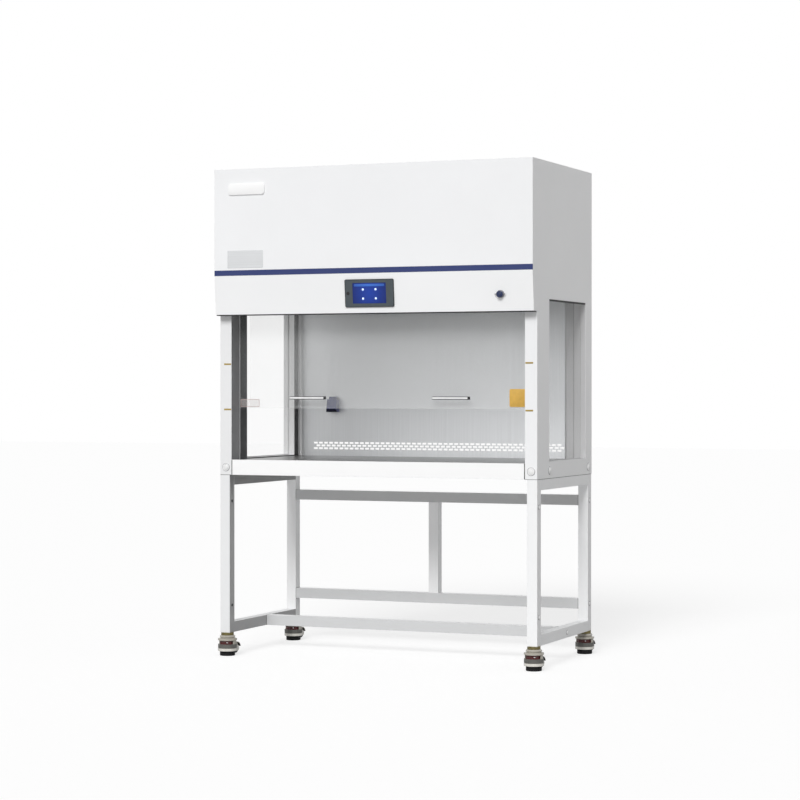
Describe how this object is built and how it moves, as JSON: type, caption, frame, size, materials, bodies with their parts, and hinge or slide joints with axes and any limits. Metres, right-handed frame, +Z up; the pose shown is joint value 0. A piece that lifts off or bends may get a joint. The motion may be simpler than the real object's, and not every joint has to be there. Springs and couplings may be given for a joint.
{
  "type": "laminar flow cabinet",
  "caption": "Vertical laminar flow cabinet: glass-sided work chamber with a sliding front sash under a fan and filter housing, on an open tube stand with levelling casters.",
  "frame": {"origin": "middle of the bounding box on the floor, under the four foot pads", "axes": "+Z up, the sash and control panel face -Y, +X is the user's right"},
  "size_m": [1.334, 0.751, 1.878],
  "materials": {
    "cabinet_paint": "semi-gloss white powder coat",
    "stand_paint": "semi-gloss white powder coat",
    "stripe_blue": "satin navy paint",
    "stainless": "brushed along the width",
    "galvanised": "dull zinc",
    "plain_steel": "turned",
    "bright_metal": "polished",
    "aluminium": "satin anodised",
    "weight_iron": "dark primer",
    "clear_glass": "clear",
    "lamp_glass": "clear",
    "white_plastic": "smooth",
    "black_plastic": "matt",
    "black_paint": "satin",
    "bezel_grey": "matt",
    "screen_blue": "glossy",
    "knob_blue": "smooth",
    "socket_blue": "smooth",
    "caster_ivory": "smooth",
    "collar_metal": "dark turned",
    "dial_red": "moulded",
    "pad_rubber": "dull",
    "filter_fabric": "pleated paper"
  },
  "bodies": {
    "cabinet": {"accent_stripe": "stripe_blue", "back_liner": "stainless", "base_pan": "cabinet_paint", "bolt_caps": "bright_metal", "caster_mounts": "collar_metal", "control_box": "galvanised", "display_bezel": "bezel_grey", "display_screen": "screen_blue", "fan_deck": "galvanised", "fan_motor": "black_paint", "fascia": "cabinet_paint", "filter_frame": "aluminium", "filter_media": "filter_fabric", "front_cover": "cabinet_paint", "led_lamp": "white_plastic", "power_inlet": "black_plastic", "prefilter": "filter_fabric", "rear_panel": "cabinet_paint", "sash_cables": "plain_steel", "shaft_bearings": "black_plastic", "side_glass_left": "clear_glass", "side_glass_right": "clear_glass", "side_liner_left": "stainless", "side_liner_right": "stainless", "side_panel_left": "cabinet_paint", "side_panel_right": "cabinet_paint", "socket_box": "socket_blue", "stand_cross_beam": "stand_paint", "stand_rear_frame": "stand_paint", "stand_side_left": "stand_paint", "stand_side_right": "stand_paint", "switch_ring": "bright_metal", "top_panel": "cabinet_paint", "uv_lamp": "lamp_glass", "worktop": "stainless"},
    "sash": {"sash_glass": "clear_glass", "sash_rail": "aluminium", "sash_handles": "white_plastic"},
    "counterweights": {"counterweight_left": "weight_iron", "counterweight_right": "weight_iron"},
    "pulley_shaft": {"pulley_shaft": "plain_steel"},
    "switch_knob": {"switch_knob": "knob_blue"},
    "socket_flap": {"socket_flap": "socket_blue"},
    "fan_impeller": {"fan_impeller": "galvanised"},
    "caster_hood_front_left": {"caster_hood_front_left": "caster_ivory"},
    "caster_wheel_front_left": {"caster_wheel_front_left": "black_plastic"},
    "level_dial_front_left": {"level_dial_front_left": "dial_red"},
    "foot_pad_front_left": {"foot_pad_front_left": "pad_rubber"},
    "caster_hood_front_right": {"caster_hood_front_right": "caster_ivory"},
    "caster_wheel_front_right": {"caster_wheel_front_right": "black_plastic"},
    "level_dial_front_right": {"level_dial_front_right": "dial_red"},
    "foot_pad_front_right": {"foot_pad_front_right": "pad_rubber"},
    "caster_hood_rear_left": {"caster_hood_rear_left": "caster_ivory"},
    "caster_wheel_rear_left": {"caster_wheel_rear_left": "black_plastic"},
    "level_dial_rear_left": {"level_dial_rear_left": "dial_red"},
    "foot_pad_rear_left": {"foot_pad_rear_left": "pad_rubber"},
    "caster_hood_rear_right": {"caster_hood_rear_right": "caster_ivory"},
    "caster_wheel_rear_right": {"caster_wheel_rear_right": "black_plastic"},
    "level_dial_rear_right": {"level_dial_rear_right": "dial_red"},
    "foot_pad_rear_right": {"foot_pad_rear_right": "pad_rubber"}
  },
  "joints": [
    {"name": "sash_slide", "type": "slide", "parent": "cabinet", "child": "sash", "axis": [0, 0, 1], "range_m": [-0.196, 0.28]},
    {"name": "counterweight_slide", "type": "slide", "parent": "cabinet", "child": "counterweights", "axis": [0, 0, 1], "range_m": [-0.2805, 0.1965], "deforming": ["sash_cables"]},
    {"name": "pulley_turn", "type": "hinge", "parent": "cabinet", "child": "pulley_shaft", "pos_m": [0, -0.22522, 1.843], "axis": [1, 0, 0], "range_deg": [-895, 628]},
    {"name": "switch_turn", "type": "hinge", "parent": "cabinet", "child": "switch_knob", "pos_m": [0.523, -0.35647, 1.3825], "axis": [0, -0.9962, -0.0869], "range_deg": [0, 90]},
    {"name": "flap_hinge", "type": "hinge", "parent": "cabinet", "child": "socket_flap", "pos_m": [-0.443, 0.28398, 0.998], "axis": [-1, 0, 0], "range_deg": [0, 110]},
    {"name": "fan_spin", "type": "hinge", "parent": "cabinet", "child": "fan_impeller", "pos_m": [0, 0.02998, 1.572], "axis": [0, 0, 1], "continuous": true},
    {"name": "swivel_front_left", "type": "hinge", "parent": "cabinet", "child": "caster_hood_front_left", "pos_m": [-0.63, -0.29402, 0.079], "axis": [0, 0, 1], "continuous": true},
    {"name": "wheel_front_left", "type": "hinge", "parent": "caster_hood_front_left", "child": "caster_wheel_front_left", "pos_m": [-0.62477, -0.24429, 0.025], "axis": [-0.9945, 0.1045, 0], "continuous": true},
    {"name": "dial_front_left", "type": "hinge", "parent": "caster_hood_front_left", "child": "level_dial_front_left", "pos_m": [-0.63, -0.29402, 0.0442], "axis": [0, 0, 1], "range_deg": [-1260, 1080]},
    {"name": "pad_front_left", "type": "slide", "parent": "caster_hood_front_left", "child": "foot_pad_front_left", "axis": [0, 0, -1], "range_m": [-0.007, 0.006]},
    {"name": "swivel_front_right", "type": "hinge", "parent": "cabinet", "child": "caster_hood_front_right", "pos_m": [0.63, -0.29402, 0.079], "axis": [0, 0, 1], "continuous": true},
    {"name": "wheel_front_right", "type": "hinge", "parent": "caster_hood_front_right", "child": "caster_wheel_front_right", "pos_m": [0.63523, -0.24429, 0.025], "axis": [-0.9945, 0.1045, 0], "continuous": true},
    {"name": "dial_front_right", "type": "hinge", "parent": "caster_hood_front_right", "child": "level_dial_front_right", "pos_m": [0.63, -0.29402, 0.0442], "axis": [0, 0, 1], "range_deg": [-1260, 1080]},
    {"name": "pad_front_right", "type": "slide", "parent": "caster_hood_front_right", "child": "foot_pad_front_right", "axis": [0, 0, -1], "range_m": [-0.007, 0.006]},
    {"name": "swivel_rear_left", "type": "hinge", "parent": "cabinet", "child": "caster_hood_rear_left", "pos_m": [-0.63, 0.30098, 0.079], "axis": [0, 0, 1], "continuous": true},
    {"name": "wheel_rear_left", "type": "hinge", "parent": "caster_hood_rear_left", "child": "caster_wheel_rear_left", "pos_m": [-0.62477, 0.35071, 0.025], "axis": [-0.9945, 0.1045, 0], "continuous": true},
    {"name": "dial_rear_left", "type": "hinge", "parent": "caster_hood_rear_left", "child": "level_dial_rear_left", "pos_m": [-0.63, 0.30098, 0.0442], "axis": [0, 0, 1], "range_deg": [-1260, 1080]},
    {"name": "pad_rear_left", "type": "slide", "parent": "caster_hood_rear_left", "child": "foot_pad_rear_left", "axis": [0, 0, -1], "range_m": [-0.007, 0.006]},
    {"name": "swivel_rear_right", "type": "hinge", "parent": "cabinet", "child": "caster_hood_rear_right", "pos_m": [0.63, 0.30098, 0.079], "axis": [0, 0, 1], "continuous": true},
    {"name": "wheel_rear_right", "type": "hinge", "parent": "caster_hood_rear_right", "child": "caster_wheel_rear_right", "pos_m": [0.63523, 0.35071, 0.025], "axis": [-0.9945, 0.1045, 0], "continuous": true},
    {"name": "dial_rear_right", "type": "hinge", "parent": "caster_hood_rear_right", "child": "level_dial_rear_right", "pos_m": [0.63, 0.30098, 0.0442], "axis": [0, 0, 1], "range_deg": [-1260, 1080]},
    {"name": "pad_rear_right", "type": "slide", "parent": "caster_hood_rear_right", "child": "foot_pad_rear_right", "axis": [0, 0, -1], "range_m": [-0.007, 0.006]}
  ],
  "couplings": [
    {"joint": "counterweight_slide", "follows": "sash_slide", "ratio": -1},
    {"joint": "pulley_turn", "follows": "sash_slide", "rad_per_m": -55.556},
    {"joint": "pad_front_left", "follows": "dial_front_left", "m_per_rad": 0.00031831},
    {"joint": "pad_front_right", "follows": "dial_front_right", "m_per_rad": 0.00031831},
    {"joint": "pad_rear_left", "follows": "dial_rear_left", "m_per_rad": 0.00031831},
    {"joint": "pad_rear_right", "follows": "dial_rear_right", "m_per_rad": 0.00031831}
  ]
}
